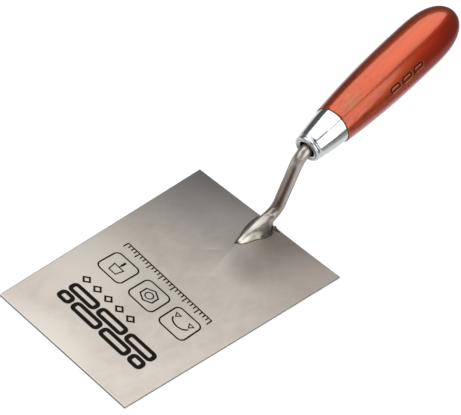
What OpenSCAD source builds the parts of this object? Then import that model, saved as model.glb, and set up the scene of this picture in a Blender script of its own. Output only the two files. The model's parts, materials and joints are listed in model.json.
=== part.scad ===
// Trapezoid plastering trowel: a flat stainless blade, a forged goose-neck shank
// welded to it, a turned wooden handle and the ferrule that binds the two.
// Origin: centre of the blade's underside. +X points to the front edge, +Z up.

/* [Blade] */
// Length from the front edge to the rear edge
blade_length = 180; // [160:1:200]
// Width of the rear edge, which carries the shank
blade_rear_width = 115.2; // [95:0.1:130]
// Width of the front edge, which does the spreading
blade_front_width = 92; // [75:0.1:110]
// Thickness of the stainless sheet
blade_thickness = 1; // [0.8:0.1:1.6]

/* [Shank] */
// Diameter of the round bar that the shank is forged from
bar_diameter = 8; // [7:0.5:9]
// How far behind the blade's rear edge the upright part stands
riser_setback = 5; // [4:0.5:8]
// Height at which the upright part's line meets the handle's line
neck_height = 52.7; // [48:0.1:60]
// Bend radius of the lower elbow, to the bar's centreline
elbow_radius = 10; // [8:0.5:11]
// Bend radius of the goose neck, to the bar's centreline
neck_radius = 12; // [9:0.5:13]
// Height of the bar's centreline above the blade where the elbow ends
elbow_clearance = 4.7; // [4.2:0.1:6]
// How much thinner the bar gets where it is bent
bend_thinning = 0.1; // [0.1:0.05:0.3]
// Length of the straight tang, from the end of the goose neck
tang_length = 82; // [60:1:95]
// Length of the taper at the end of the tang
tang_taper = 22; // [10:1:30]
// Diameter of the tang's blunt end
tang_end_diameter = 4; // [3:0.5:6]

/* [Foot] */
// Distance from the blade's rear edge to the foot's tip
foot_reach = 32.5; // [26:0.5:40]
// Distance from the blade's rear edge to the foot's heel
heel_inset = 0.4; // [0.2:0.1:1]
// Distance from the blade's rear edge to the foot's widest place
belly_inset = 6; // [3:0.5:9]
// Half the foot's greatest width
foot_half_width = 9.2; // [7:0.1:11]
// Half the width of the blunt tip
tip_half_width = 1.2; // [0.6:0.1:1.6]
// Height of the ridge at the tip
tip_height = 3; // [1.5:0.1:4]
// Height of the thin upright rim round the foot
rim_height = 0.7; // [0.5:0.1:1]
// Half the breadth of the ridge at the heel
ridge_half_heel = 4.4; // [3.5:0.1:5]
// Half the breadth of the ridge at the tip
ridge_half_tip = 1.2; // [0.8:0.1:2]

/* [Foot weld] */
// Width of the weld bead beside the foot
weld_width = 1.1; // [0.8:0.1:1.6]
// Length of the weld's nub in front of the tip
weld_nub = 2.2; // [1.5:0.1:3.5]

/* [Ferrule] */
// Length of the ferrule along the handle
ferrule_length = 25.2; // [20:0.1:32]
// Wall thickness of the ferrule
ferrule_wall = 0.9; // [0.6:0.1:1.2]
// Radius of the rolled lip's own bead
lip_radius = 1.7; // [1.2:0.1:2]
// Radius of the hole inside the lip
mouth_radius = 5.5; // [5:0.1:6]
// Distance from the mouth to the place where the cone gets less steep
shoulder_distance = 15.5; // [12:0.5:18]
// Outer radius at that place
shoulder_radius = 11.35; // [10.5:0.05:12]
// Outer radius at the rear rim, next to the wood
rear_radius = 12.35; // [12:0.05:12.8]

/* [Handle] */
// Slope of the handle above the blade, in degrees
handle_tilt = 24.5; // [15:0.5:30]
// Distance from the neck's corner point to the ferrule's mouth
mouth_setback = 5.2; // [4:0.1:7]
// Distance from the ferrule's mouth to the end of the handle
handle_end = 146.3; // [130:0.1:160]
// Radius of the wood where it meets the ferrule
wood_start_radius = 13; // [12.8:0.1:14]
// Greatest radius of the wood
belly_radius = 16.9; // [15:0.1:18]
// Distance from the ferrule's mouth to the greatest radius
belly_distance = 103; // [90:1:112]

/* [Hidden] */
$fn = 96;

// Side view layout
rear_x = -blade_length / 2;
riser_x = rear_x - riser_setback;
elbow_z = blade_thickness + elbow_clearance + elbow_radius;
neck_turn = 90 - handle_tilt;
neck_tangent = neck_radius * tan(neck_turn / 2);
neck_z = neck_height - neck_tangent;
mouth_x = riser_x - mouth_setback * cos(handle_tilt);
mouth_z = neck_height + mouth_setback * sin(handle_tilt);
// How far the straight parts reach into the bends that they join
bend_overlap = 0.5;
// Where the tang starts and ends, measured from the ferrule's mouth
tang_start = neck_tangent - mouth_setback;
tang_end = tang_start + tang_length;

// Foot layout
heel_x = rear_x + heel_inset;
belly_x = rear_x + belly_inset;
tip_x = rear_x + foot_reach;
elbow_end_x = riser_x + elbow_radius;
ridge_top = elbow_clearance + bar_diameter / 2;
foot_taper_power = 1.35;
foot_stations = 16;
flank_steps = 9;

// Ferrule and handle layout
lip_centre_radius = mouth_radius + lip_radius;
lip_outer_radius = lip_centre_radius + lip_radius;
nose_start = 2 * lip_radius + 0.2;
swell_power = 2.3;
butt_power = 3.2;
swell_steps = 16;
butt_steps = 14;
edge_break = 0.4;
tang_end_gap = 2;

// Position of foot station i along X, closer together towards the tip
function station_x(i) = heel_x + (tip_x - heel_x) * sin(90 * i / foot_stations);

// Half the width of the foot at x: a teardrop, widest at the belly
function foot_half(x) = let (s = abs(x - belly_x) / (tip_x - belly_x))
    tip_half_width + (foot_half_width - tip_half_width) * (1 - pow(s, foot_taper_power));

// Height of the ridge above the blade at x
function ridge_height(x) = let (s = max(0, (x - elbow_end_x) / (tip_x - elbow_end_x)))
    tip_height + (ridge_top - tip_height) * (1 - s);

// Half the breadth of the ridge at x
function ridge_half(x) = let (s = (x - heel_x) / (tip_x - heel_x))
    ridge_half_heel + (ridge_half_tip - ridge_half_heel) * s;

// Height of the flank at distance y from the ridge: a bell that flares into the rim
function flank_height(x, y) =
    rim_height + (ridge_height(x) - rim_height) * exp(-pow(y / ridge_half(x), 2));

// Cross-section of the foot at x, from the base corner over the ridge to the other
function foot_section(x) = let (w = foot_half(x)) concat(
    [[x, w, 0]],
    [for (j = [-flank_steps:flank_steps]) let (y = -w * j / flank_steps)
        [x, y, flank_height(x, y)]],
    [[x, -w, 0]]);

// Cross-section of the weld bead beside the foot at station i, on side +1 or -1
function bead_section(i, side) =
    let (x = station_x(i), w = foot_half(x))
    let (out_x = heel_x + (x - heel_x) * (1 + weld_nub / (tip_x - heel_x)))
    let (crown_x = (x + out_x) / 2)
    [[x, side * w, 0],
     [out_x, side * (w + weld_width), 0],
     [crown_x, side * (w + weld_width * 0.55), rim_height * 0.7],
     [x, side * w, rim_height]];

// Radius of the wood at distance u from the ferrule's mouth, in front of the belly
function swell_radius(u) = let (s = (u - ferrule_length) / (belly_distance - ferrule_length))
    belly_radius - (belly_radius - wood_start_radius) * pow(1 - s, swell_power);

// Radius of the wood at distance u, behind the belly
function butt_radius(u) = let (s = (u - belly_distance) / (handle_end - belly_distance))
    belly_radius * sqrt(max(0, 1 - pow(s, butt_power)));

// Outline of the visible wood, from the ferrule to the end of the handle
wood_outline = concat(
    [[wood_start_radius - edge_break, ferrule_length]],
    [for (i = [0:swell_steps - 1])
        let (u = ferrule_length + edge_break
            + (belly_distance - ferrule_length - edge_break) * pow(i / swell_steps, 1.4))
        [swell_radius(u), u]],
    [for (i = [0:butt_steps])
        let (u = belly_distance + (handle_end - belly_distance) * sin(90 * i / butt_steps))
        [butt_radius(u), u]]);

// Skins a closed solid over equal rings of points
module skin(rings) {
    n = len(rings[0]);
    last = len(rings) - 1;
    polyhedron(
        points = [for (ring = rings) for (p = ring) p],
        faces = concat(
            [[for (j = [0:n - 1]) j]],
            [for (i = [0:last - 1]) for (j = [0:n - 1])
                [i * n + j, (i + 1) * n + j, i * n + (j + 1) % n]],
            [for (i = [0:last - 1]) for (j = [0:n - 1])
                [i * n + (j + 1) % n, (i + 1) * n + j, (i + 1) * n + (j + 1) % n]],
            [[for (j = [n - 1:-1:0]) last * n + j]]),
        convexity = 4);
}

// Places its children on the handle's axis, with the ferrule's mouth at Z = 0
module on_handle_axis() {
    translate([mouth_x, 0, mouth_z])
        rotate([0, handle_tilt - 90, 0])
            children();
}

// A bend of the round bar in the XZ plane, from one angle through another
module bar_bend(centre_x, centre_z, radius, from, turn) {
    translate([centre_x, 0, centre_z])
        rotate([90, 0, 0])
            rotate([0, 0, from])
                rotate_extrude(angle = turn)
                    translate([radius, 0])
                        circle(d = bar_diameter - bend_thinning);
}

module blade() {
    rear = blade_rear_width / 2;
    front = blade_front_width / 2;
    color([0.74, 0.72, 0.68])
        linear_extrude(blade_thickness)
            polygon([[-rear_x, front], [rear_x, rear], [rear_x, -rear], [-rear_x, -front]]);
}

// The forged foot that lies on the blade
module foot() {
    translate([0, 0, blade_thickness])
        skin([for (i = [0:foot_stations]) foot_section(station_x(i))]);
}

// Foot, elbow, riser, goose neck and tang are one forging
module shank() {
    color([0.60, 0.57, 0.52]) {
        foot();
        bar_bend(elbow_end_x, elbow_z, elbow_radius, 180, 90);
        translate([riser_x, 0, elbow_z - bend_overlap])
            cylinder(d = bar_diameter, h = neck_z - elbow_z + 2 * bend_overlap);
        bar_bend(riser_x - neck_radius, neck_z, neck_radius, 0, neck_turn);
        on_handle_axis()
            rotate_extrude()
                polygon([
                    [0, tang_start - bend_overlap],
                    [bar_diameter / 2, tang_start - bend_overlap],
                    [bar_diameter / 2, tang_end - tang_taper],
                    [tang_end_diameter / 2, tang_end],
                    [0, tang_end]]);
    }
}

// One bead along both sides of the foot, with a nub at its tip
module foot_weld() {
    color([0.45, 0.43, 0.41])
        translate([0, 0, blade_thickness])
            skin(concat(
                [for (i = [0:foot_stations]) bead_section(i, 1)],
                [for (i = [foot_stations:-1:0]) bead_section(i, -1)]));
}

module ferrule() {
    color([0.84, 0.86, 0.88])
        on_handle_axis()
            rotate_extrude() {
                translate([lip_centre_radius, lip_radius])
                    circle(r = lip_radius);
                polygon([
                    [lip_outer_radius, lip_radius],
                    [shoulder_radius, shoulder_distance],
                    [rear_radius, ferrule_length],
                    [rear_radius - ferrule_wall, ferrule_length],
                    [shoulder_radius - ferrule_wall, shoulder_distance],
                    [lip_outer_radius - ferrule_wall, lip_radius]]);
            }
}

// Turned wood with a nose inside the ferrule and a blind hole for the tang
module handle() {
    nose_radius = lip_outer_radius - ferrule_wall
        + (shoulder_radius - lip_outer_radius)
        * (nose_start - lip_radius) / (shoulder_distance - lip_radius);
    color([0.72, 0.22, 0.11])
        on_handle_axis()
            difference() {
                rotate_extrude()
                    polygon(concat(
                        [[0, nose_start],
                         [nose_radius, nose_start],
                         [shoulder_radius - ferrule_wall, shoulder_distance],
                         [rear_radius - ferrule_wall, ferrule_length]],
                        wood_outline));
                translate([0, 0, nose_start - 1])
                    cylinder(d = bar_diameter, h = tang_end - tang_taper - nose_start + 1);
                translate([0, 0, tang_end - tang_taper])
                    cylinder(d1 = bar_diameter, d2 = tang_end_diameter, h = tang_taper);
                translate([0, 0, tang_end - 1])
                    cylinder(d = tang_end_diameter, h = tang_end_gap + 1);
            }
}

blade();
shank();
foot_weld();
ferrule();
handle();
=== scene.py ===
import json
import math

import bpy
from mathutils import Matrix, Vector, noise


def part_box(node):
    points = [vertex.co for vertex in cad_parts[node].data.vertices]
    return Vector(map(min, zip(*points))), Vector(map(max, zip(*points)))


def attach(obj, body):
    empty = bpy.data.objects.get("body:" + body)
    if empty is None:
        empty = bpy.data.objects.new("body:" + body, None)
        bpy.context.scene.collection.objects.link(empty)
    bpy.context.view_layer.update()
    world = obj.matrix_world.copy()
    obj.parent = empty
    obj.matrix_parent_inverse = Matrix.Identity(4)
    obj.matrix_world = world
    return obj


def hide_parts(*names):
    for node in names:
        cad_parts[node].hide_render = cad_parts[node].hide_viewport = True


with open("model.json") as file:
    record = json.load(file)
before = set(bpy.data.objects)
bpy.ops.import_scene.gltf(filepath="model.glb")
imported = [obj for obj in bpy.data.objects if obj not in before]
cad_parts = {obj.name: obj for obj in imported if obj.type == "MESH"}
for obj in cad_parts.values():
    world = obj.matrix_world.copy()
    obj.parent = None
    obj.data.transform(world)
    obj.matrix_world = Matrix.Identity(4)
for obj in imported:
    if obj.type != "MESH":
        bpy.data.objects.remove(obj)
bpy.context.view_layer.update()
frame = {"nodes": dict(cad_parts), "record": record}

MM = 0.001

# ------------------------ places from the frame

blade_low, blade_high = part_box("blade")
REAR_X = blade_low.x
FRONT_X = blade_high.x
BLADE_TOP = blade_high.z
BLADE_LENGTH = FRONT_X - REAR_X
REAR_HALF = blade_high.y
FRONT_HALF = max(
    v.co.y for v in frame["nodes"]["blade"].data.vertices if v.co.x > FRONT_X - 0.01 * MM
)

foot_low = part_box("foot_weld")[0]
shank_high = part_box("shank")[1]

grip = next(m for m in frame["record"]["mounts"] if m["name"] == "hand_grip")
AXIS = Vector(grip["axis"]).normalized()
AXIS_SIDE = Vector((0, 1, 0))
AXIS_UP = AXIS.cross(AXIS_SIDE).normalized()
if AXIS_UP.z < 0:
    AXIS_UP.negate()


def along_axis(node):
    """Lowest and highest distance of a node along the handle's axis, from the grip mount."""
    places = [
        (v.co - Vector(grip["pos_m"])).dot(AXIS) for v in frame["nodes"][node].data.vertices
    ]
    return min(places), max(places)


mouth_at, ferrule_end_at = along_axis("ferrule")
MOUTH = Vector(grip["pos_m"]) + AXIS * mouth_at
FERRULE_LENGTH = ferrule_end_at - mouth_at
HANDLE_END = along_axis("handle")[1] - mouth_at
TANG_END = along_axis("shank")[1] - mouth_at

# Local Z runs up the handle, local Y across the tool, so that turned pieces are made upright
HANDLE_FRAME = Matrix.Translation(MOUTH) @ Matrix(
    (
        (AXIS_UP.x, AXIS_SIDE.x, AXIS.x),
        (AXIS_UP.y, AXIS_SIDE.y, AXIS.y),
        (AXIS_UP.z, AXIS_SIDE.z, AXIS.z),
    )
).to_4x4()


def mix(a, b, t):
    return a + (b - a) * t


# ------------------------ camera, floor and light

CAMERA_PLACE = Vector((422.3, 218.3, 425.7)) * MM
CAMERA_AIM = Vector((-80.2, -22.8, 0.0)) * MM
CAMERA_LENS = 88.35
CAMERA_ROLL = math.radians(21.77)
VIEW_AZIMUTH = math.atan2(CAMERA_PLACE.y - CAMERA_AIM.y, CAMERA_PLACE.x - CAMERA_AIM.x)

# The top softbox, measured from above the origin: away from the camera, and across
TOP_HEIGHT = 1.5
TOP_NEAR = -0.45
TOP_FAR = 1.735
TOP_LEFT = -0.65
TOP_RIGHT = 1.75
TOP_RADIANCE = 2.0
# The other lamps: name, place, aim, two sizes, radiance and twist. The low fill keeps the flat
# blade from going dark when it is seen from behind
SOFTBOXES = (
    ("side_softbox", (0.08, 1.22, 0.81), (-0.12, 0, 0.05), 1.35, 1.54, 2.1, math.radians(12)),
    ("front_softbox", (1.08, -0.72, 0.88), (-0.1, 0, 0), 1.8, 0.60, 2.2, 0.0),
    ("rear_fill", (1.62, 0.95, 0.50), (0, 0, 0), 1.4, 0.55, 0.9, 0.0),
)
SURROUNDINGS = (0.13, 0.135, 0.14, 1)

# The lit part of the floor: a rounded rectangle turned with the camera
POOL_TURN = math.radians(29.5)
POOL_X = -0.18
POOL_LENGTH = 0.70
POOL_WIDTH = 0.37
POOL_FADE = 0.13
POOL_GLOW = 0.72
OUTER_GLOW = 0.08
FLOOR_HALF = 15.0
FLOOR_DROP = 0.02 * MM


def make_camera():
    data = bpy.data.cameras.new("camera")
    data.lens = CAMERA_LENS
    data.sensor_width = 36.0
    data.clip_start = 0.01
    data.clip_end = 100.0
    camera = bpy.data.objects.new("camera", data)
    camera.location = CAMERA_PLACE
    look = (CAMERA_AIM - CAMERA_PLACE).to_track_quat("-Z", "Y").to_matrix()
    camera.rotation_euler = (look @ Matrix.Rotation(CAMERA_ROLL, 3, "Z")).to_euler()
    bpy.context.scene.collection.objects.link(camera)
    bpy.context.scene.camera = camera


def softbox(name, place, aim, size_x, size_y, radiance, twist):
    """A rectangular lamp of an even brightness, turned towards a point."""
    data = bpy.data.lights.new(name, "AREA")
    data.shape = "RECTANGLE"
    data.size = size_x
    data.size_y = size_y
    data.energy = radiance * math.pi * size_x * size_y
    lamp = bpy.data.objects.new(name, data)
    lamp.location = place
    turn = (Vector(aim) - Vector(place)).to_track_quat("-Z", "Y").to_matrix()
    lamp.rotation_euler = (turn @ Matrix.Rotation(twist, 3, "Z")).to_euler()
    bpy.context.scene.collection.objects.link(lamp)
    return lamp


def make_lights():
    """Two large softboxes, a small one in front, a low fill and dim grey surroundings."""
    away = VIEW_AZIMUTH + math.pi
    along = Vector((math.cos(away), math.sin(away), 0))
    across = Vector((-along.y, along.x, 0))
    centre = along * mix(TOP_NEAR, TOP_FAR, 0.5) + across * mix(TOP_LEFT, TOP_RIGHT, 0.5)
    top = softbox(
        "top_softbox",
        centre + Vector((0, 0, TOP_HEIGHT)),
        centre,
        TOP_FAR - TOP_NEAR,
        TOP_RIGHT - TOP_LEFT,
        TOP_RADIANCE,
        0.0,
    )
    top.rotation_euler = (0, 0, away)
    for settings in SOFTBOXES:
        softbox(*settings)
    world = bpy.data.worlds.new("studio")
    world.use_nodes = True
    world.node_tree.nodes["Background"].inputs["Color"].default_value = SURROUNDINGS
    bpy.context.scene.world = world
    bpy.context.scene.view_settings.view_transform = "Standard"


def make_floor():
    """A pale floor, lit in a pool round the tool that fades out past the picture's edges."""
    corners = ((-1, -1), (1, -1), (1, 1), (-1, 1))
    verts = [(FLOOR_HALF * x, FLOOR_HALF * y, 0) for x, y in corners]
    mesh = bpy.data.meshes.new("floor")
    mesh.from_pydata(verts, [], [(0, 1, 2, 3)])
    floor = bpy.data.objects.new("floor", mesh)
    bpy.context.scene.collection.objects.link(floor)
    floor.location.z = -FLOOR_DROP
    look = Look("floor_white", (0.3, 0.3, 0.3), 0.9)
    place = look.place((1, 1, 1), (0, 0, -POOL_TURN))
    axes = look.add("ShaderNodeSeparateXYZ", Vector=place)
    outside = []
    for axis, middle, half in (("X", POOL_X, POOL_LENGTH / 2), ("Y", 0.0, POOL_WIDTH / 2)):
        offset = look.math("ABSOLUTE", look.math("SUBTRACT", axes.outputs[axis], middle))
        outside.append(look.math("MAXIMUM", look.math("SUBTRACT", offset, half), 0.0))
    squares = [look.math("POWER", value, 2.0) for value in outside]
    distance = look.math("SQRT", look.math("ADD", *squares))
    fade = look.add("ShaderNodeMapRange", {"interpolation_type": "SMOOTHSTEP"}, Value=distance)
    fade.inputs["From Min"].default_value = 0.0
    fade.inputs["From Max"].default_value = POOL_FADE
    fade.inputs["To Min"].default_value = POOL_GLOW
    fade.inputs["To Max"].default_value = OUTER_GLOW
    look.put(fade.outputs["Result"], look.shader.inputs["Emission Strength"])
    look.shader.inputs["Emission Color"].default_value = (1, 1, 1, 1)
    mesh.materials.append(look.material)


# ------------------------ mesh helpers


def make_piece(name, verts, faces, material, smooth_angle=None):
    """A mesh piece that rides on the tool."""
    mesh = bpy.data.meshes.new(name)
    mesh.from_pydata([tuple(v) for v in verts], [], faces)
    mesh.validate()
    mesh.materials.append(material)
    piece = bpy.data.objects.new(name, mesh)
    bpy.context.scene.collection.objects.link(piece)
    if smooth_angle is not None:
        mesh.shade_smooth()
        mesh.set_sharp_from_angle(angle=math.radians(smooth_angle))
    return piece


def skin(rings, closed_ends=True):
    """Vertices and faces of a tube over equal rings of points."""
    n = len(rings[0])
    verts = [p for ring in rings for p in ring]
    faces = []
    for i in range(len(rings) - 1):
        for j in range(n):
            k = (j + 1) % n
            faces.append((i * n + j, i * n + k, (i + 1) * n + k, (i + 1) * n + j))
    if closed_ends:
        faces.append(tuple(range(n - 1, -1, -1)))
        last = (len(rings) - 1) * n
        faces.append(tuple(last + j for j in range(n)))
    return verts, faces


def loop(rings):
    """Vertices and faces of a tube whose last ring joins its first."""
    verts, faces = skin(rings + [rings[0]], closed_ends=False)
    size = len(verts) - len(rings[0])
    return verts[:size], [tuple(v % size for v in face) for face in faces]


def merged(parts):
    """One mesh from several pairs of vertices and faces."""
    verts = []
    faces = []
    for more, add in parts:
        base = len(verts)
        verts += more
        faces += [tuple(v + base for v in face) for face in add]
    return verts, faces


def arc(x, y, radius, start, end, steps):
    """Points of an arc in an outline such as (radius, height), with angles in degrees."""
    turns = [math.radians(start + (end - start) * i / steps) for i in range(steps + 1)]
    return [(x + radius * math.cos(turn), y + radius * math.sin(turn)) for turn in turns]


def ease(t):
    """Smooth step from 0 to 1."""
    t = min(1.0, max(0.0, t))
    return t * t * (3 - 2 * t)


# ------------------------ materials


class Look:
    """A node material that is built step by step."""

    def __init__(self, name, colour, roughness, metallic=0.0, turned=False):
        self.turned = turned
        self.material = bpy.data.materials.new(name)
        self.material.use_nodes = True
        self.tree = self.material.node_tree
        self.shader = self.tree.nodes["Principled BSDF"]
        self.shader.inputs["Base Color"].default_value = (*colour, 1)
        self.shader.inputs["Roughness"].default_value = roughness
        self.shader.inputs["Metallic"].default_value = metallic

    def add(self, kind, settings=None, **inputs):
        node = self.tree.nodes.new(kind)
        for key, value in (settings or {}).items():
            setattr(node, key, value)
        for key, value in inputs.items():
            self.put(value, node.inputs[key.replace("_", " ")])
        return node

    def put(self, value, socket):
        if isinstance(value, bpy.types.NodeSocket):
            self.tree.links.new(value, socket)
        else:
            socket.default_value = value

    def coordinates(self):
        """Object coordinates; a turned piece has them along the handle, from its mouth."""
        place = self.add("ShaderNodeTexCoord").outputs["Object"]
        if not self.turned:
            return place
        local = self.add("ShaderNodeMapping", {"vector_type": "TEXTURE"}, Vector=place)
        local.inputs["Location"].default_value = HANDLE_FRAME.to_translation()
        local.inputs["Rotation"].default_value = HANDLE_FRAME.to_euler()
        return local.outputs["Vector"]

    def place(self, scale, turn=(0, 0, 0)):
        """The coordinates, stretched and turned."""
        mapping = self.add("ShaderNodeMapping", Vector=self.coordinates())
        mapping.inputs["Scale"].default_value = scale
        mapping.inputs["Rotation"].default_value = turn
        return mapping.outputs["Vector"]

    def noise(self, scale, detail, roughness, distortion=0.0):
        """Smooth noise with so many swells to the metre on each axis."""
        node = self.add(
            "ShaderNodeTexNoise",
            Vector=self.place(scale),
            Scale=1.0,
            Detail=detail,
            Roughness=roughness,
            Distortion=distortion,
        )
        return node.outputs["Fac"]

    def ramp(self, value, *stops):
        """Maps a value to greys or colours: stops are (place, grey or colour)."""
        node = self.add("ShaderNodeValToRGB", Fac=value)
        elements = node.color_ramp.elements
        while len(elements) < len(stops):
            elements.new(1.0)
        for element, (at, colour) in zip(elements, stops):
            element.position = at
            if not isinstance(colour, tuple):
                colour = (colour, colour, colour)
            element.color = (*colour, 1)
        return node.outputs["Color"]

    def blend(self, share, a, b, kind="MIX"):
        node = self.add("ShaderNodeMix", {"data_type": "RGBA", "blend_type": kind})
        self.put(share, node.inputs[0])
        for value, socket in ((a, node.inputs[6]), (b, node.inputs[7])):
            if isinstance(value, tuple):
                value = (*value, 1)
            self.put(value, socket)
        return node.outputs[2]

    def near(self, centre, reach, power):
        """One at a point, falling to zero at an ellipsoid round it; a low power is broader."""
        offset = self.add("ShaderNodeVectorMath", {"operation": "SUBTRACT"})
        self.put(self.coordinates(), offset.inputs[0])
        offset.inputs[1].default_value = centre
        scaled = self.add("ShaderNodeVectorMath", {"operation": "DIVIDE"})
        self.put(offset.outputs[0], scaled.inputs[0])
        scaled.inputs[1].default_value = reach
        length = self.add("ShaderNodeVectorMath", {"operation": "LENGTH"})
        self.put(scaled.outputs[0], length.inputs[0])
        inside = self.math("SUBTRACT", 1.0, length.outputs["Value"], clamp=True)
        fall = self.math("POWER", inside, power)
        # A smooth step rounds off the patch's rim
        smooth = self.add("ShaderNodeMapRange", {"interpolation_type": "SMOOTHSTEP"}, Value=fall)
        return smooth.outputs["Result"]

    def tint(self, base, colour, share, centre, reach, power):
        """The base with a patch of another colour round a point, by at most the share."""
        patch = self.near(centre, reach, power)
        return self.blend(self.math("MULTIPLY", patch, share), base, colour)

    def math(self, operation, a, b=0.0, clamp=False):
        node = self.add("ShaderNodeMath", {"operation": operation, "use_clamp": clamp})
        self.put(a, node.inputs[0])
        self.put(b, node.inputs[1])
        return node.outputs[0]

    def bump(self, height, strength, distance):
        node = self.add("ShaderNodeBump", Height=height, Strength=strength, Distance=distance)
        self.put(node.outputs["Normal"], self.shader.inputs["Normal"])

    def colour(self, value):
        self.put(value, self.shader.inputs["Base Color"])

    def rough(self, value):
        self.put(value, self.shader.inputs["Roughness"])


# How far back from its front edge the blade carries a painted highlight along its bevel
BEVEL_GLINT_DEPTH = 0.8 * MM


def blade_steel():
    """Brushed sheet steel: cloudy, mottled and browned by heat, with painted reflections and a
    painted highlight along the front edge.
    """
    look = Look("blade_steel", (0.39, 0.36, 0.33), 0.22, 0.95)
    brushed = look.noise((60, 2500, 400), 3.0, 0.6)
    cloud = look.noise((14, 22, 10), 3.0, 0.5)
    tone = look.ramp(cloud, (0.30, (0.383, 0.348, 0.309)), (0.70, (0.420, 0.385, 0.344)))
    mottle = look.noise((60, 110, 60), 5.0, 0.65, 0.5)
    mottle = look.ramp(mottle, (0.36, 0.91), (0.60, 1.0))
    steel = look.blend(1.0, tone, mottle, "MULTIPLY")
    # Beside the foot: a darker blotch, a painted reflection of the bar
    at = (-42 * MM, 19 * MM, BLADE_TOP)
    steel = look.tint(steel, (0.24, 0.225, 0.21), 0.45, at, (16 * MM, 14 * MM, 9 * MM), 0.6)
    # Painted reflection: the left of the front half and the front edge are lighter
    at = (32 * MM, -38 * MM, BLADE_TOP)
    steel = look.tint(steel, (0.468, 0.431, 0.387), 0.9, at, (44 * MM, 36 * MM, 40 * MM), 0.7)
    at = (FRONT_X, -8 * MM, BLADE_TOP)
    steel = look.tint(steel, (0.468, 0.436, 0.392), 0.8, at, (20 * MM, 40 * MM, 40 * MM), 0.7)
    axes = look.add("ShaderNodeSeparateXYZ", Vector=look.coordinates())
    # A painted highlight: a bright strip along the front edge's bevel
    bevel_glint = look.math("GREATER_THAN", axes.outputs["X"], FRONT_X - BEVEL_GLINT_DEPTH)
    steel = look.blend(look.math("MULTIPLY", bevel_glint, 0.5), steel, (0.50, 0.47, 0.43))
    # Painted reflections: the rear right corner is lighter, and the rear left one is darker
    at = (REAR_X, REAR_HALF, BLADE_TOP)
    steel = look.tint(steel, (0.455, 0.415, 0.37), 0.9, at, (40 * MM, 52 * MM, 30 * MM), 0.7)
    at = (REAR_X, -REAR_HALF, BLADE_TOP)
    steel = look.tint(steel, (0.222, 0.206, 0.196), 0.95, at, (74 * MM, 64 * MM, 20 * MM), 0.75)
    # Round the foot, heat has tinted the sheet brown
    at = (TIP_X - 12 * MM, 1 * MM, BLADE_TOP)
    steel = look.tint(steel, (0.26, 0.215, 0.18), 1.0, at, (16 * MM, 9 * MM, 9 * MM), 2.0)
    look.colour(steel)
    satin = look.near((REAR_X, REAR_HALF, BLADE_TOP), (75 * MM, 62 * MM, 60 * MM), 0.6)
    # Below 0.275 the denoiser draws a hairline where the polish meets the satin
    polish = look.ramp(cloud, (0.3, 0.277), (0.7, 0.281))
    look.rough(look.blend(satin, polish, (0.48, 0.48, 0.48)))
    look.bump(brushed, 0.10, 0.02 * MM)
    return look.material


def edge_steel():
    """The darker sheared edge of the sheet."""
    look = Look("sheared_edge", (0.34, 0.34, 0.35), 0.38, 1.0)
    streak = look.noise((900, 900, 6000), 3.0, 0.6)
    look.colour(look.ramp(streak, (0.3, (0.11, 0.105, 0.10)), (0.7, (0.21, 0.20, 0.19))))
    look.bump(streak, 0.3, 0.03 * MM)
    return look.material


def shank_steel():
    """Forged steel: brown scale at the heel, a painted dark reflection at the elbow and riser,
    ground bright on the foot's nose.
    """
    look = Look("shank_steel", (0.40, 0.36, 0.32), 0.30, 1.0)
    cloud = look.noise((90, 90, 60), 4.0, 0.6)
    steel = look.ramp(cloud, (0.3, (0.34, 0.305, 0.27)), (0.7, (0.46, 0.42, 0.385)))
    # The heel is scaled brown
    scale_marks = look.noise((120, 1400, 1400), 3.0, 0.6)
    scale_marks = look.ramp(scale_marks, (0.35, (0.13, 0.105, 0.085)), (0.65, (0.40, 0.36, 0.31)))
    at = (-80 * MM, 6.5 * MM, 3 * MM)
    steel = look.tint(steel, scale_marks, 1.0, at, (13 * MM, 5.5 * MM, 7 * MM), 0.5)
    # Painted dark reflection: the elbow and the front of the riser are darkened brown
    at = (-88.5 * MM, 1.5 * MM, 14.5 * MM)
    steel = look.tint(steel, (0.15, 0.12, 0.10), 0.85, at, (7 * MM, 6 * MM, 8 * MM), 0.6)
    at = (-91 * MM, 2.0 * MM, 30 * MM)
    steel = look.tint(steel, (0.16, 0.13, 0.11), 0.90, at, (2.4 * MM, 1.9 * MM, 27 * MM), 0.6)
    # The ground top of the foot is streaked along its length
    drawn = look.noise((50, 620, 60), 2.0, 0.5)
    drawn = look.ramp(drawn, (0.40, (0.23, 0.205, 0.18)), (0.58, (0.50, 0.465, 0.42)))
    at = (-72 * MM, 0.8 * MM, 6.5 * MM)
    steel = look.tint(steel, drawn, 0.85, at, (19 * MM, 4.5 * MM, 5 * MM), 0.4)
    # Its nose is ground bright and matt
    nose = look.near((-65.0 * MM, 4.2 * MM, 2.4 * MM), (14 * MM, 3.8 * MM, 3.2 * MM), 0.4)
    streaks = look.noise((150, 900, 900), 3.0, 0.6)
    ground = look.ramp(streaks, (0.35, (0.74, 0.68, 0.59)), (0.65, (0.96, 0.91, 0.81)))
    look.colour(look.blend(nose, steel, ground))
    polish = look.ramp(cloud, (0.3, 0.26), (0.7, 0.37))
    look.rough(look.blend(nose, polish, (0.60, 0.60, 0.60)))
    look.shader.inputs["Specular Tint"].default_value = (0.45, 0.43, 0.41, 1)
    scratch = look.noise((700, 700, 120), 3.0, 0.7)
    look.bump(look.blend(0.5, cloud, scratch), 0.25, 0.15 * MM)
    return look.material


def weld_metal():
    """Dark, scorched weld."""
    look = Look("weld_metal", (0.10, 0.07, 0.05), 0.45, 0.9)
    tint = look.noise((300, 300, 300), 3.0, 0.6)
    look.colour(look.ramp(tint, (0.35, (0.05, 0.035, 0.028)), (0.7, (0.24, 0.19, 0.15))))
    look.bump(tint, 0.4, 0.1 * MM)
    return look.material


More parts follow.
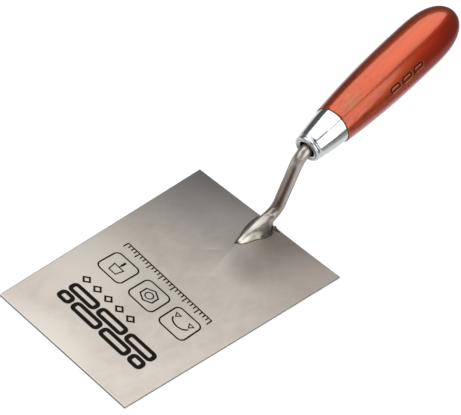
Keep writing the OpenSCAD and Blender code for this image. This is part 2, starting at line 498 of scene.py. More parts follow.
def ferrule_chrome():
    """Bright chrome, hazier at the lip and faintly rippled from drawing."""
    look = Look("ferrule_chrome", (0.54, 0.555, 0.565), 0.10, 1.0, turned=True)
    haze = look.noise((120, 120, 60), 3.0, 0.5)
    lip = look.near((0, 0, 0), (11 * MM, 11 * MM, 11 * MM), 0.35)
    haze = look.ramp(haze, (0.35, 0.10), (0.7, 0.18))
    look.rough(look.blend(look.math("MULTIPLY", lip, 0.6), haze, (0.42, 0.42, 0.42)))
    draw = look.noise((40, 40, 30), 2.0, 0.5)
    look.bump(draw, 0.12, 0.4 * MM)
    return look.material


def lacquered_wood():
    """Red-orange lacquer over wood grain, with flecks and a smudge by the ferrule."""
    look = Look("lacquered_wood", (0.44, 0.050, 0.012), 0.32, 0.8, turned=True)
    grain = look.noise((260, 260, 14), 4.0, 0.6, 0.3)
    broad = look.noise((60, 60, 9), 3.0, 0.5)
    tone = look.ramp(
        grain,
        (0.30, (0.40, 0.045, 0.007)),
        (0.52, (0.46, 0.061, 0.010)),
        (0.75, (0.51, 0.069, 0.013)),
    )
    warm = look.ramp(broad, (0.35, 0.86), (0.70, 1.0))
    lacquer = look.blend(1.0, tone, warm, "MULTIPLY")
    # An olive smudge
    at = (12.8 * MM, 2.3 * MM, 38 * MM)
    lacquer = look.tint(lacquer, (0.27, 0.095, 0.030), 0.75, at, (8 * MM, 6 * MM, 12 * MM), 0.8)
    # Painted shade: the shaded side of the butt is a deeper red
    at = (10.5 * MM, 12.5 * MM, 122 * MM)
    lacquer = look.tint(lacquer, (0.48, 0.026, 0.004), 1.0, at, (10 * MM, 10 * MM, 42 * MM), 0.5)
    fleck = look.noise((620, 620, 150), 5.0, 0.65, 0.6)
    fleck = look.ramp(fleck, (0.50, 0.0), (0.64, 1.0))
    reach = look.near((4 * MM, 4 * MM, 36 * MM), (40 * MM, 40 * MM, 55 * MM), 0.8)
    fleck = look.math("MULTIPLY", fleck, reach)
    look.colour(look.blend(fleck, lacquer, (0.24, 0.035, 0.008)))
    look.rough(look.ramp(broad, (0.3, 0.28), (0.7, 0.34)))
    look.shader.inputs["Specular IOR Level"].default_value = 0.2
    look.shader.inputs["Specular Tint"].default_value = (0.30, 0.06, 0.03, 1)
    look.shader.inputs["Coat Weight"].default_value = 1.0
    look.shader.inputs["Coat Roughness"].default_value = 0.13
    look.shader.inputs["Coat IOR"].default_value = 1.47
    look.bump(grain, 0.20, 0.06 * MM)
    return look.material


def burnt_stamp():
    """The sooty floor of the pressed stamp."""
    look = Look("burnt_stamp", (0.03, 0.012, 0.008), 0.6, turned=True)
    soot = look.noise((500, 500, 300), 4.0, 0.6)
    look.colour(look.ramp(soot, (0.3, (0.014, 0.006, 0.004)), (0.7, (0.045, 0.016, 0.010))))
    look.shader.inputs["Specular IOR Level"].default_value = 0.2
    look.bump(soot, 0.2, 0.1 * MM)
    return look.material


def bore_wood_painted_shade():
    """Bare wood inside the ferrule and the tang's hole, painted near-black as the shade in the
    bore.
    """
    look = Look("bore_wood_painted_shade", (0.05, 0.028, 0.016), 0.8, turned=True)
    grain = look.noise((300, 300, 20), 4.0, 0.6)
    look.colour(look.ramp(grain, (0.3, (0.018, 0.010, 0.006)), (0.7, (0.05, 0.03, 0.018))))
    look.bump(grain, 0.3, 0.2 * MM)
    return look.material


def ink_black():
    """Matt black printing ink."""
    look = Look("ink_black", (0.006, 0.006, 0.005), 0.75)
    speck = look.noise((900, 900, 900), 3.0, 0.6)
    look.colour(look.ramp(speck, (0.3, (0.005, 0.004, 0.003)), (0.75, (0.012, 0.010, 0.007))))
    look.rough(look.ramp(speck, (0.3, 0.70), (0.7, 0.85)))
    look.shader.inputs["Specular IOR Level"].default_value = 0.08
    return look.material


# ------------------------ blade

# Steps of the sheet's mesh along and across the blade
BLADE_COLUMNS = 225
BLADE_ROWS = 176
EDGE_ROUND = 0.22 * MM
# An edge's middle point lies this share of its rounding inside the square corner
EDGE_CUT = 0.29
# Welding heat has lifted the rear corners: from LIFT_FROM backwards, over LIFT_RUN
LIFT_LEFT = 0.10 * MM
LIFT_RIGHT = 0.77 * MM
LIFT_FROM = 0.02
LIFT_RUN = 0.11
LIFT_POWER = 1.15
# It has also raised a low ridge ahead of the foot, with a sharp crease along its crest
CREASE_START = Vector((-57.0, 1.5)) * MM
CREASE_END = Vector((4.0, 14.0)) * MM
CREASE_HEIGHT = 0.63 * MM
CREASE_LEFT = 11.8 * MM
CREASE_RIGHT = 18.0 * MM
# Beside the foot the ridge widens, and then becomes a dome that reaches the sheet's left edge
WIDEN_FROM = CREASE_START.x + 5 * MM
WIDEN_RUN = 35 * MM
WIDEN_BY = 1.6
DOME_FROM = CREASE_START.x - 5 * MM
DOME_RUN = 34 * MM
DOME_SHARE = 0.6
# A faint furrow runs forward and left from near the foot's tip
FURROW_START = Vector((-47.0, 2.5)) * MM
FURROW_END = Vector((-30.0, -9.5)) * MM
FURROW_DEPTH = 0.022 * MM
FURROW_WIDTH = 0.9 * MM


def blade_half(x):
    """Half the blade's width at x."""
    return mix(REAR_HALF, FRONT_HALF, (x - REAR_X) / BLADE_LENGTH)


def furrow(x, y):
    """How deep the furrow is."""
    run = (x - FURROW_START.x) / (FURROW_END.x - FURROW_START.x)
    if run < 0 or run > 1:
        return 0.0
    aside = y - mix(FURROW_START.y, FURROW_END.y, run)
    return FURROW_DEPTH * math.sin(math.pi * run) * math.exp(-((aside / FURROW_WIDTH) ** 2))


def blade_lift(x, y):
    """How far welding heat has lifted the sheet off its flat plane."""
    back = ease((LIFT_FROM - x) / LIFT_RUN)
    corner = (LIFT_RIGHT if y > 0 else LIFT_LEFT) * (abs(y) / REAR_HALF) ** LIFT_POWER * back
    run = (x - CREASE_START.x) / (CREASE_END.x - CREASE_START.x)
    aside = y - mix(CREASE_START.y, CREASE_END.y, max(0.0, run))
    if aside > 0:
        fall = math.exp(-aside / CREASE_RIGHT)
    else:
        wide = 1 + WIDEN_BY * ease((WIDEN_FROM - x) / WIDEN_RUN)
        dome = max(0.0, 1 - (aside / REAR_HALF) ** 2)
        behind = DOME_SHARE * ease((DOME_FROM - x) / DOME_RUN)
        fall = mix(math.exp(aside / (CREASE_LEFT * wide)), dome, behind)
    return corner + CREASE_HEIGHT * (1 - ease(run)) * fall - furrow(x, y)


def spread(count, low, high):
    """Evenly spaced places from low to high."""
    return [low + (high - low) * i / count for i in range(count + 1)]


def blade_piece(steel, edge):
    """The sheet: fine top and bottom faces, joined by a rounded edge."""
    columns = spread(BLADE_COLUMNS, REAR_X, FRONT_X)
    rows = spread(BLADE_ROWS, -1.0, 1.0)
    cut = EDGE_ROUND * EDGE_CUT
    # From the top face round the edge to the bottom face: inset and height
    layers = (
        (EDGE_ROUND, BLADE_TOP),
        (cut, BLADE_TOP - cut),
        (0.0, BLADE_TOP - EDGE_ROUND),
        (0.0, EDGE_ROUND),
        (cut, cut),
        (EDGE_ROUND, 0.0),
    )
    bottom = len(layers) - 1

    def point(x, share, inset, height):
        half = blade_half(x)
        x = min(max(x, REAR_X + inset), FRONT_X - inset)
        y = share * (half - inset)
        return Vector((x, y, height + blade_lift(x, y)))

    verts = []
    faces = []
    index = {}

    def vertex(i, j, layer):
        border = i in (0, BLADE_COLUMNS) or j in (0, BLADE_ROWS)
        key = (i, j, layer)
        if key not in index:
            inset, height = layers[layer]
            index[key] = len(verts)
            verts.append(point(columns[i], rows[j], inset if border else 0.0, height))
        return index[key]

    for i in range(BLADE_COLUMNS):
        for j in range(BLADE_ROWS):
            a = [vertex(*p, 0) for p in ((i, j), (i + 1, j), (i + 1, j + 1), (i, j + 1))]
            b = [vertex(*p, bottom) for p in ((i, j), (i, j + 1), (i + 1, j + 1), (i + 1, j))]
            faces.append(tuple(a))
            faces.append(tuple(b))
    flat_count = len(faces)
    rim = [(i, 0) for i in range(BLADE_COLUMNS)]
    rim += [(BLADE_COLUMNS, j) for j in range(BLADE_ROWS)]
    rim += [(i, BLADE_ROWS) for i in range(BLADE_COLUMNS, 0, -1)]
    rim += [(0, j) for j in range(BLADE_ROWS, 0, -1)]
    for n, here in enumerate(rim):
        there = rim[(n + 1) % len(rim)]
        for layer in range(bottom):
            down = (vertex(*here, layer), vertex(*here, layer + 1))
            up = (vertex(*there, layer + 1), vertex(*there, layer))
            faces.append(down + up)
    piece = make_piece("blade_sheet", verts, faces, steel, 50)
    piece.data.materials.append(edge)
    for face in piece.data.polygons:
        if face.index >= flat_count:
            face.material_index = 1
    return piece


# ------------------------ printed marks

# The ink lies between these heights above the sheet
INK_LOW = 0.005 * MM
INK_HIGH = 0.03 * MM
# The marks are laid out in mm on the blade, and slewed a little as the real print is
BRICKS_AT = (53.6, 1.8)
BRICK_DEPTH = 7.9
BRICK_LENGTH = 20.7
BRICK_GAP = 0.9
BRICK_LINE = 2.6
BRICK_COURSES = (
    ((-1.5, -0.5), (-0.5, 0.5), (0.5, 1.5)),
    ((-1.5, -1.0), (-1.0, 0.0), (0.0, 1.0), (1.0, 1.5)),
)
DIAMOND_COUNT = 5
DIAMOND_X = 43.8
DIAMOND_START = -28.0
DIAMOND_PITCH = 8.6
DIAMOND_REACH = 2.5
DIAMOND_LINE = 1.2
LARGE_SLEW = 0.03
BADGE_X = 22.2
BADGE_PLACES = (-24.6, 0.4, 24.5)
BADGE_SIZE = (18.4, 18.8)
BADGE_CORNER = 3.4
BADGE_LINE = 1.0
BADGE_SLEW = 0.045
SCALE_X = 4.0
SCALE_FROM = -35.5
SCALE_TO = 34.0
SCALE_LINE = 0.9
TICK_COUNT = 29
TICK_START = -35.2
TICK_PITCH = 2.46
TICK_LINE = 0.85
SCALE_SLEW = 0.075


def on_blade(x, y, height):
    """The point at a height above the sheet."""
    return Vector((x, y, BLADE_TOP + blade_lift(x, y) + height))


def ribbon(points, width, closed):
    """A printed line along blade points (x, y in mm), as a thin closed strip."""
    dense = []
    count = len(points)
    for n in range(count if closed else count - 1):
        a = Vector(points[n])
        b = Vector(points[(n + 1) % count])
        steps = max(1, int((b - a).length / 1.5))
        dense += [a.lerp(b, k / steps) for k in range(steps)]
    if not closed:
        dense.append(Vector(points[-1]))
    total = len(dense)
    rings = []
    for n, here in enumerate(dense):
        before = dense[n - 1] if closed or n > 0 else here
        after = dense[(n + 1) % total] if closed or n < total - 1 else here
        into = (here - before).normalized() if (here - before).length else None
        out = (after - here).normalized() if (after - here).length else None
        into = into or out
        out = out or into
        side = Vector((-(into + out).y, (into + out).x)).normalized()
        reach = width / 2 / max(0.5, side.dot(Vector((-out.y, out.x))))
        left = (here + side * reach) * MM
        right = (here - side * reach) * MM
        corners = ((left, INK_HIGH), (left, INK_LOW), (right, INK_LOW), (right, INK_HIGH))
        rings.append([on_blade(spot.x, spot.y, height) for spot, height in corners])
    return loop(rings) if closed else skin(rings)


def rounded_box(x, y, size_x, size_y, radius):
    """Outline of a rectangle with round corners, centred on (x, y)."""
    outline = []
    for sx, sy, start in ((1, 1, 0), (-1, 1, 90), (-1, -1, 180), (1, -1, 270)):
        corner_x = x + sx * (size_x / 2 - radius)
        corner_y = y + sy * (size_y / 2 - radius)
        outline += arc(corner_x, corner_y, radius, start, start + 90, 5)
    return outline


def polygon(x, y, radius, sides):
    """A regular polygon round (x, y)."""
    turns = [2 * math.pi * k / sides for k in range(sides)]
    return [(x + radius * math.cos(turn), y + radius * math.sin(turn)) for turn in turns]


def print_piece(name, strokes, ink):
    """One printed mark from (points, width, closed) strokes."""
    verts, faces = merged(ribbon(*stroke) for stroke in strokes)
    piece = make_piece(name, verts, faces, ink)
    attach(piece, "root")


def brick_strokes():
    """A running-bond wall of outlined bricks; the courses list where each brick starts and ends."""
    strokes = []
    pitch = BRICK_LENGTH + BRICK_GAP
    for row, spans in enumerate(BRICK_COURSES):
        row_x = BRICKS_AT[0] + row * (BRICK_DEPTH + BRICK_GAP)
        for start, end in spans:
            size_x = BRICK_DEPTH - BRICK_LINE
            size_y = (end - start) * pitch - BRICK_GAP - BRICK_LINE
            centre = BRICKS_AT[1] + (start + end) / 2 * pitch
            outline = rounded_box(row_x, centre, size_x, size_y, BRICK_LINE * 0.7)
            strokes.append((outline, BRICK_LINE, True))
    return strokes


def diamond_strokes():
    """A row of outlined diamonds."""
    strokes = []
    for k in range(DIAMOND_COUNT):
        centre = DIAMOND_START + DIAMOND_PITCH * k
        shape = polygon(DIAMOND_X, centre, DIAMOND_REACH, 4)
        strokes.append((shape, DIAMOND_LINE, True))
    return strokes


def scale_strokes():
    """A plain scale: a long line with a longer tick at every fourth place."""
    strokes = [([(SCALE_X, SCALE_FROM), (SCALE_X, SCALE_TO)], SCALE_LINE, False)]
    for k in range(TICK_COUNT):
        place = TICK_START + TICK_PITCH * k
        reach = 4.6 if k % 4 == 0 else 2.9
        strokes.append(([(SCALE_X, place), (SCALE_X + reach, place)], TICK_LINE, False))
    return strokes


def slanted(strokes, slope):
    """The same strokes with the print slewed a little on the blade."""
    return [([(x + slope * y, y) for x, y in points], *rest) for points, *rest in strokes]


def make_marks(ink):
    """Generic marks in place of the maker's print: a brick bond, diamonds, badges, a scale."""
    print_piece("mark_bricks", slanted(brick_strokes(), LARGE_SLEW), ink)
    print_piece("mark_diamonds", slanted(diamond_strokes(), LARGE_SLEW), ink)
    badges = (
        ("badge_trowel", trowel_pictogram),
        ("badge_nut", nut_pictogram),
        ("badge_bend", bend_pictogram),
    )
    for (name, pictogram), y in zip(badges, BADGE_PLACES):
        border = (rounded_box(BADGE_X, y, *BADGE_SIZE, BADGE_CORNER), BADGE_LINE, True)
        print_piece(name, slanted([border] + pictogram(BADGE_X, y), BADGE_SLEW), ink)
    print_piece("mark_scale", slanted(scale_strokes(), SCALE_SLEW), ink)


def trowel_pictogram(x, y):
    """A small trapezoid blade with its handle."""
    blade = [(x + 5.2, y - 2.6), (x + 5.2, y + 2.6), (x - 0.6, y + 3.6), (x - 0.6, y - 3.6)]
    strokes = [(blade, 0.8, True), ([(x - 0.9, y), (x - 2.4, y)], 0.8, False)]
    strokes.append(([(x - 2.4, y), (x - 6.4, y)], 1.5, False))
    return strokes


def nut_pictogram(x, y):
    """A hexagon round a circle."""
    return [(polygon(x, y, 5.4, 6), 0.95, True), (polygon(x, y, 2.5, 20), 0.8, True)]


def bend_pictogram(x, y):
    """A strip bent into an arc over two supports."""
    strip = [
        (x - 2.0 + 5.0 * math.cos(math.radians(a)), y + 6.0 * math.sin(math.radians(a)))
        for a in range(-75, 76, 10)
    ]
    strokes = [(strip, 1.0, False)]
    for side in (-1, 1):
        foot = [(x - 4.6, y + side * 3.2), (x - 1.8, y + side * 5.0), (x - 4.6, y + side * 6.6)]
        strokes.append((foot, 0.7, True))
    return strokes


# ------------------------ shank, foot and weld

BAR = 4.0 * MM
RISER_X = REAR_X - 5.0 * MM
ELBOW_RADIUS = 10.0 * MM
NECK_RADIUS = 12.0 * MM
ELBOW_LINE = BLADE_TOP + 4.7 * MM
ELBOW_END_X = RISER_X + ELBOW_RADIUS
ELBOW_Z = ELBOW_LINE + ELBOW_RADIUS
# The neck's bend meets the handle's axis where the riser's line does
NECK_CORNER_Z = MOUTH.z + (RISER_X - MOUTH.x) * AXIS.z / AXIS.x
NECK_TURN = math.acos(AXIS.z)
NECK_TANGENT = NECK_RADIUS * math.tan(NECK_TURN / 2)

HEEL_X = foot_low.x
TIP_X = shank_high.x
BAR_SIDES = 64
BEND_STEPS = 24
FOOT_STEPS = 16
RISER_STEP = 1.5 * MM
TANG_STEPS = 20
TANG_TAPER = 22 * MM
TANG_TIP = 2.0 * MM
# Neither the bar nor the foot reaches down to the floor
BAR_LOWEST = 0.5 * MM
FOOT_LOWEST = 0.4 * MM
RIM = 0.7 * MM
FOOT_SLOPE = math.radians(10)
FOOT_RUN = 22.0 * MM
FOOT_TAPER_X = ELBOW_END_X - ELBOW_RADIUS * math.sin(FOOT_SLOPE)
FOOT_END_RADIUS = 2.6 * MM
FACET_DEPTH = 0.55 * MM
FACET_LEAD = 5 * MM
FACET_RUN = 6 * MM
FACET_ROLL = math.radians(13)
# The foot's right flank turns from hollow to full over this run
FULL_FROM = -76 * MM
FULL_RUN = 12 * MM
FOOT_RINGS = 90
FLANK_STEPS = 12
VOXEL = 0.32 * MM
# The hammered foot from tip to heel, in mm: x, then y of its left edge, the two edges of its
# ground top and its right edge, then the height of the top
FOOT_STATIONS = (
    (-56.9, 0.5, 1.0, 1.9, 2.6, 2.0),
    (-57.5, -0.1, 0.6, 2.2, 3.3, 2.9),
    (-59.2, -0.6, 0.3, 2.4, 4.1, 3.7),
    (-61.0, -1.0, 0.1, 2.3, 4.7, 4.2),
    (-63.0, -1.7, -0.2, 2.1, 5.3, 4.7),
    (-66.5, -3.0, -0.4, 2.0, 5.9, 5.3),
    (-69.5, -4.0, -0.6, 2.3, 6.3, 5.9),
    (-74.0, -5.1, -1.0, 2.6, 8.2, 6.8),
    (-79.0, -5.9, -1.3, 2.9, 9.1, 7.9),
    (-82.5, -6.4, -1.6, 3.1, 8.9, 8.6),
    (-86.0, -6.5, -1.9, 3.0, 6.6, 9.2),
    (-89.6, -6.2, -2.2, 2.8, 4.2, 9.6),
)


def bar_path():
    """Centre points and directions of the bar, from inside the foot to the tang's end."""
    stations = []
    for k in range(BEND_STEPS + 1):
        angle = mix(FOOT_SLOPE, math.radians(90), k / BEND_STEPS)
        centre = Vector((ELBOW_END_X, 0, ELBOW_Z))
        out = Vector((-math.sin(angle), 0, -math.cos(angle)))
        stations.append(
            (centre + out * ELBOW_RADIUS, Vector((-math.cos(angle), 0, math.sin(angle))))
        )
    first, heading = stations[0]
    ahead = range(FOOT_STEPS, 0, -1)
    stations[:0] = [(first - heading * FOOT_RUN * k / FOOT_STEPS, heading) for k in ahead]
    neck_z = NECK_CORNER_Z - NECK_TANGENT
    rise = int((neck_z - ELBOW_Z) / RISER_STEP)
    for k in range(1, rise):
        z = ELBOW_Z + (neck_z - ELBOW_Z) * k / rise
        stations.append((Vector((RISER_X, 0, z)), Vector((0, 0, 1))))
    for k in range(BEND_STEPS + 1):
        angle = NECK_TURN * k / BEND_STEPS
        centre = Vector((RISER_X - NECK_RADIUS, 0, neck_z))
        out = Vector((math.cos(angle), 0, math.sin(angle)))
        stations.append(
            (centre + out * NECK_RADIUS, Vector((-math.sin(angle), 0, math.cos(angle))))
        )
    last = stations[-1][0]
    reach = TANG_END - (last - MOUTH).dot(AXIS)
    for k in range(1, TANG_STEPS + 1):
        stations.append((last + AXIS * reach * k / TANG_STEPS, AXIS))
    return stations


def bar_radius(point):
    """The bar's radius, which tapers into the foot and near the tang's end."""
    ahead = (point.x - FOOT_TAPER_X) / (FOOT_RUN * math.cos(FOOT_SLOPE))
    if ahead > 0:
        return mix(BAR, FOOT_END_RADIUS, ahead)
    left = TANG_END - (point - MOUTH).dot(AXIS)
    if left > TANG_TAPER:
        return BAR
    return mix(TANG_TIP, BAR, max(0.0, left) / TANG_TAPER)


def bar_mesh():
    """The bar as a loft; its top is ground to a flat facet where it runs down the foot."""
    rings = []
    for point, heading in bar_path():
        side = Vector((0, 1, 0))
        up = side.cross(heading).normalized()
        radius = bar_radius(point)
        ground = FACET_DEPTH * ease((point.x - FOOT_TAPER_X + FACET_LEAD) / FACET_RUN)
        ring = []
        for j in range(BAR_SIDES):
            angle = 2 * math.pi * j / BAR_SIDES
            reach = radius
            facing = math.cos(angle - FACET_ROLL)
            if facing > 0.1:
                reach = min(radius, (radius - ground) / facing)
            place = point + side * reach * math.sin(angle) + up * reach * math.cos(angle)
            place.z = max(place.z, BAR_LOWEST)
            ring.append(place)
        rings.append(ring)
    return skin(rings)


def foot_section(x):
    """The foot's left edge, top edges, right edge and height at x, in metres."""
    place = x / MM
    for near, far in zip(FOOT_STATIONS, FOOT_STATIONS[1:]):
        if place >= far[0]:
            break
    share = min(1.0, max(0.0, (near[0] - place) / (near[0] - far[0])))
    return [mix(a, b, share) * MM for a, b in zip(near[1:], far[1:])]


def foot_mesh():
    """The foot as sections across: rim, concave flanks and the narrow ground top."""
    rings = []
    tip = FOOT_STATIONS[0][0] * MM
    for i in range(FOOT_RINGS + 1):
        x = mix(HEEL_X, tip, i / FOOT_RINGS)
        left, top_left, top_right, right, top = foot_section(x)
        rim = BLADE_TOP + RIM
        # The right flank is full at the nose and hollow at the heel, one step below the top
        full = ease((x - FULL_FROM) / FULL_RUN)
        hollow = mix(1.5, 0.28, full)
        shoulder = top - mix(0.15, 0.55, full) * MM
        ring = [Vector((x, right, FOOT_LOWEST))]
        for j in range(FLANK_STEPS + 1):
            share = j / FLANK_STEPS
            y = mix(right, top_right, share)
            ring.append(Vector((x, y, mix(rim, shoulder, share**hollow))))
        ring.append(Vector((x, top_right - 0.05 * MM, top - 0.03 * MM)))
        for j in range(FLANK_STEPS + 1):
            share = 1 - j / FLANK_STEPS
            y = mix(left, top_left, share)
            ring.append(Vector((x, y, mix(rim, top, share**1.2))))
        ring.append(Vector((x, left, FOOT_LOWEST)))
        rings.append(ring)
    return skin(rings)


def apply_modifier(piece, kind, **settings):
    """Puts the piece's mesh through a modifier."""
    modifier = piece.modifiers.new(kind.lower(), kind)
    for key, value in settings.items():
        setattr(modifier, key, value)
    depsgraph = bpy.context.evaluated_depsgraph_get()
    mesh = bpy.data.meshes.new_from_object(piece.evaluated_get(depsgraph))
    piece.modifiers.clear()
    piece.data = mesh


def dent(place):
    """Hammer dents, with grinding marks along the foot and fine ripples on the bar."""
    wave = noise.noise(place * 160.0) * 0.05 * MM
    if place.z < BLADE_TOP + 9 * MM and place.x > HEEL_X:
        marks = noise.noise(Vector((place.x * 70, place.y * 850, place.z * 300)))
        return wave + marks * 0.13 * MM
    ripple = noise.noise(Vector((place.x * 900, place.y * 900, place.z * 200)))
    return wave + ripple * 0.025 * MM


def shank_piece(steel):
    """Bar and foot are melted into one forging, then dented."""
    verts, faces = merged((bar_mesh(), foot_mesh()))
    piece = make_piece("shank_forging", verts, faces, steel)
    apply_modifier(piece, "REMESH", mode="VOXEL", voxel_size=VOXEL, use_smooth_shade=True)
    apply_modifier(piece, "SMOOTH", factor=0.5, iterations=2)
    mesh = piece.data
    normals = [v.normal.copy() for v in mesh.vertices]
    for vertex, normal in zip(mesh.vertices, normals):
        if vertex.co.z > BLADE_TOP + 0.6 * MM:
            vertex.co += normal * dent(vertex.co)
    mesh.shade_smooth()
    return piece


def foot_outline(count):
    """Points round the foot on the blade, from its right heel past the tip to its left heel."""
    tip = FOOT_STATIONS[0][0] * MM
    right = []
    left = []
    for i in range(count + 1):
        x = mix(HEEL_X, tip, i / count)
        section = foot_section(x)
        right.append(Vector((x, section[3], 0)))
        left.append(Vector((x, section[0], 0)))
    return right + [Vector((tip + 0.5 * MM, mix(right[-1].y, left[-1].y, 0.5), 0))] + left[::-1]


# How far the weld sinks into the sheet, and the sides of its round section
WELD_SINK = 0.03 * MM
BEAD_SIDES = 14


def bead(path, size_at):
    """A flat-bottomed rounded bead that lies on the blade along a path."""
    rings = []
    for n, here in enumerate(path):
        before = path[max(0, n - 1)]
        after = path[min(len(path) - 1, n + 1)]
        heading = (after - before).normalized()
        side = Vector((-heading.y, heading.x, 0))
        radius = size_at(here)
        centre = here + Vector((0, 0, BLADE_TOP + blade_lift(here.x, here.y) - WELD_SINK))
        ring = []
        for j in range(BEAD_SIDES):
            angle = 2 * math.pi * j / BEAD_SIDES
            up = Vector((0, 0, radius * max(0.0, math.sin(angle))))
            ring.append(centre + side * radius * math.cos(angle) + up)
        rings.append(ring)
    return skin(rings)


def weld_piece(metal):
    """A thin uneven bead round the foot, a nub at its tip and a burnt lump by its heel."""

    def bead_size(here):
        return (0.36 + 0.22 * noise.noise(here * 900)) * MM

    def nub_size(here):
        return (0.60 + 0.38 * noise.noise(here * 1300)) * MM

    def burn_size(here):
        taper = mix(1.75, 0.35, (here.y - 6 * MM) / (5 * MM))
        return taper * (1.0 + 0.5 * noise.noise(here * 1300)) * MM

    nub_x = FOOT_STATIONS[0][0] * MM
    nub = [Vector((nub_x + k * 0.3 * MM, (1.5 - 0.12 * k) * MM, 0)) for k in range(8)]
    burn = [Vector(((-88.2 - 0.02 * k) * MM, (6.0 + 0.7 * k) * MM, 0)) for k in range(8)]
    paths = ((foot_outline(110), bead_size), (nub, nub_size), (burn, burn_size))
    verts, faces = merged(bead(path, size_at) for path, size_at in paths)
    return make_piece("weld_bead", verts, faces, metal, 60)


# ------------------------ ferrule and handle

LIP = 1.85 * MM
MOUTH_RADIUS = 5.4 * MM
WALL = 0.9 * MM
GROOVE_AT = 3.0 * MM
GROOVE_DEPTH = 0.42 * MM
GROOVE_WIDTH = 0.75 * MM
# The outer edge of the rear rim is rounded off
REAR_ROUND = 0.3 * MM
REAR_CUT = 0.08 * MM
# So is the shoulder, by this much over this width
SHOULDER_CUT = 0.08 * MM
SHOULDER_SOFT = 1.2 * MM
FERRULE_RINGS = 120
FERRULE_SIDES = 160
SHOULDER_AT = 15.5 * MM
SHOULDER_RADIUS = 11.35 * MM
REAR_RADIUS = 12.35 * MM
NOSE_AT = 12.0 * MM
WOOD_START = 13.0 * MM
WOOD_BELLY = 16.9 * MM
BELLY_AT = 103.0 * MM
SWELL_POWER = 2.3
BUTT_POWER = 3.2


def cone_radius(u):
    """Outer radius of the ferrule at distance u from its mouth."""
    front = MOUTH_RADIUS + 2 * LIP
    if u < SHOULDER_AT:
        return mix(front, SHOULDER_RADIUS, (u - LIP) / (SHOULDER_AT - LIP))
    return mix(SHOULDER_RADIUS, REAR_RADIUS, (u - SHOULDER_AT) / (FERRULE_LENGTH - SHOULDER_AT))


def ferrule_piece(chrome):
    """A drawn collar with a rolled lip, a soft shoulder and a rounded rear rim."""
    outside = arc(MOUTH_RADIUS + LIP, LIP, LIP, 180, 360, 20)
    for k in range(1, FERRULE_RINGS + 1):
        u = mix(LIP, FERRULE_LENGTH - REAR_ROUND, k / FERRULE_RINGS)
        groove = GROOVE_DEPTH * math.exp(-(((u - GROOVE_AT) / GROOVE_WIDTH) ** 2))
        soft = SHOULDER_CUT * math.exp(-(((u - SHOULDER_AT) / SHOULDER_SOFT) ** 2))
        outside.append((cone_radius(u) - groove - soft, u))
    outside.append((REAR_RADIUS - REAR_CUT, FERRULE_LENGTH - REAR_CUT))
    outside.append((REAR_RADIUS - REAR_ROUND, FERRULE_LENGTH))
    inside = [
        (REAR_RADIUS - WALL, FERRULE_LENGTH),
        (SHOULDER_RADIUS - WALL, SHOULDER_AT),
        (cone_radius(2 * LIP) - WALL, 2 * LIP),
    ]
    inside += arc(MOUTH_RADIUS + LIP, LIP, LIP, 90, 160, 6)
    rings = []
    for radius, height in outside + inside:
        ring = [Vector((*spot, height)) for spot in polygon(0, 0, radius, FERRULE_SIDES)]
        rings.append(ring)
    verts, faces = loop(rings)
    piece = make_piece("ferrule_collar", verts, faces, chrome, 35)
    piece.data.transform(HANDLE_FRAME)
    return piece


def wood_radius(u):
    """Radius of the turned wood at distance u from the ferrule's mouth."""
    if u <= BELLY_AT:
        s = (u - FERRULE_LENGTH) / (BELLY_AT - FERRULE_LENGTH)
        return WOOD_BELLY - (WOOD_BELLY - WOOD_START) * (1 - s) ** SWELL_POWER
    s = (u - BELLY_AT) / (HANDLE_END - BELLY_AT)
    return WOOD_BELLY * math.sqrt(max(0.0, 1 - s**BUTT_POWER))


STAMP_DEPTH = 0.50 * MM
STAMP_STROKE = 1.8 * MM
STAMP_START = 63.0 * MM
STAMP_END = 95.0 * MM
STAMP_ANGLE = math.radians(58.5)
STAMP_HEIGHT = 5.0 * MM
STAMP_BRICKS = 3
STAMP_GAP = 1.3 * MM
STAMP_CORNER = 1.3 * MM
STAMP_WALL = 0.50 * MM
# The fine part of the wood's mesh reaches from STAMP_LOW to STAMP_HIGH
STAMP_LOW = STAMP_START - 1 * MM
STAMP_HIGH = STAMP_END + 1 * MM
DOT_ANGLE = math.radians(80.5)
DOT_RADIUS = 0.75 * MM
DOT_COUNT = 7
DOT_PITCH = 3.0 * MM


def stamp_depth(u, angle):
    """How deep the generic stamp of bricks and dots is at a place on the handle."""
    across = (angle - STAMP_ANGLE) * WOOD_BELLY
    length = (STAMP_END - STAMP_START + STAMP_GAP) / STAMP_BRICKS - STAMP_GAP
    edge = 1.0
    for k in range(STAMP_BRICKS):
        middle = STAMP_START + length / 2 + k * (length + STAMP_GAP)
        dx = abs(u - middle) - (length - STAMP_STROKE) / 2 + STAMP_CORNER
        dy = abs(across) - (STAMP_HEIGHT - STAMP_STROKE) / 2 + STAMP_CORNER
        outside = math.hypot(max(dx, 0), max(dy, 0)) + min(max(dx, dy), 0) - STAMP_CORNER
        edge = min(edge, abs(outside) - STAMP_STROKE / 2)
    for k in range(DOT_COUNT):
        dot_u = STAMP_END - 1 * MM - k * DOT_PITCH
        reach = math.hypot(u - dot_u, (angle - DOT_ANGLE) * WOOD_BELLY)
        edge = min(edge, reach - DOT_RADIUS)
    return STAMP_DEPTH * (1 - ease((edge + 0.9 * STAMP_WALL) / STAMP_WALL))


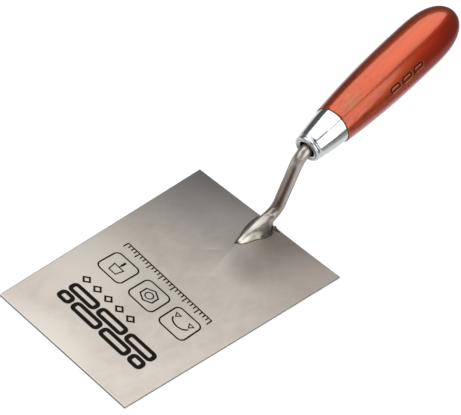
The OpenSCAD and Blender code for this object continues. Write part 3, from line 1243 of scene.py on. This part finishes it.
def handle_piece(wood, bore_shade, stamp):
    """Turned wood with a nose in the ferrule, a blind hole for the tang and a pressed stamp."""
    profile = [(TANG_TIP, TANG_END + 1 * MM), (TANG_TIP, TANG_END)]
    profile += [(BAR, TANG_END - TANG_TAPER), (BAR, NOSE_AT)]
    profile += [
        (cone_radius(NOSE_AT) - WALL, NOSE_AT),
        (SHOULDER_RADIUS - WALL, SHOULDER_AT),
        (REAR_RADIUS - WALL, FERRULE_LENGTH),
    ]
    hidden = len(profile)
    profile += [
        (WOOD_START - 0.35 * MM, FERRULE_LENGTH),
        (WOOD_START - 0.08 * MM, FERRULE_LENGTH + 0.1 * MM),
    ]
    places = spread(45, FERRULE_LENGTH + 0.4 * MM, STAMP_LOW)
    places += spread(260, STAMP_LOW, STAMP_HIGH)[1:]
    places += spread(8, STAMP_HIGH, BELLY_AT)[1:]
    butt = 70
    for k in range(1, butt):
        places.append(BELLY_AT + (HANDLE_END - BELLY_AT) * math.sin(math.radians(90 * k / butt)))
    profile += [(wood_radius(u), u) for u in places]
    # The mesh is finer between 46 and 88 degrees, where the stamp is
    angles = spread(100, math.radians(46), math.radians(88))
    angles += spread(170, math.radians(88), math.radians(406))[1:-1]
    rings = []
    for radius, u in profile:
        ring = []
        for angle in angles:
            r = radius
            if STAMP_LOW < u < STAMP_HIGH and angle < math.radians(89):
                r -= stamp_depth(u, angle)
            ring.append(Vector((r * math.cos(angle), r * math.sin(angle), u)))
        rings.append(ring)
    verts, faces = skin(rings, closed_ends=False)
    n = len(angles)
    bottom = len(verts)
    verts.append(Vector((0, 0, profile[0][1])))
    top = len(verts)
    verts.append(Vector((0, 0, HANDLE_END)))
    last = (len(rings) - 1) * n
    for j in range(n):
        k = (j + 1) % n
        faces.append((bottom, k, j))
        faces.append((last + j, last + k, top))
    piece = make_piece("turned_handle", verts, faces, wood, 60)
    piece.data.materials.append(bore_shade)
    piece.data.materials.append(stamp)
    for face in piece.data.polygons:
        middle = face.center
        # Faces inside the ferrule and the tang's hole take the wood painted near-black as shade
        if face.index < hidden * n:
            face.material_index = 1
        elif STAMP_LOW < middle.z < STAMP_HIGH and middle.y > 0:
            if stamp_depth(middle.z, math.atan2(middle.y, middle.x)) > 0.5 * STAMP_DEPTH:
                face.material_index = 2
    piece.data.transform(HANDLE_FRAME)
    return piece


# ------------------------ the whole tool

make_camera()
make_lights()
make_floor()

blade = blade_piece(blade_steel(), edge_steel())
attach(blade, "root")
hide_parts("blade")

make_marks(ink_black())

shank = shank_piece(shank_steel())
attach(shank, "root")
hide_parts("shank")

weld = weld_piece(weld_metal())
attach(weld, "root")
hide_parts("foot_weld")

ferrule = ferrule_piece(ferrule_chrome())
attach(ferrule, "root")
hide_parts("ferrule")

handle = handle_piece(lacquered_wood(), bore_wood_painted_shade(), burnt_stamp())
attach(handle, "root")
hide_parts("handle")
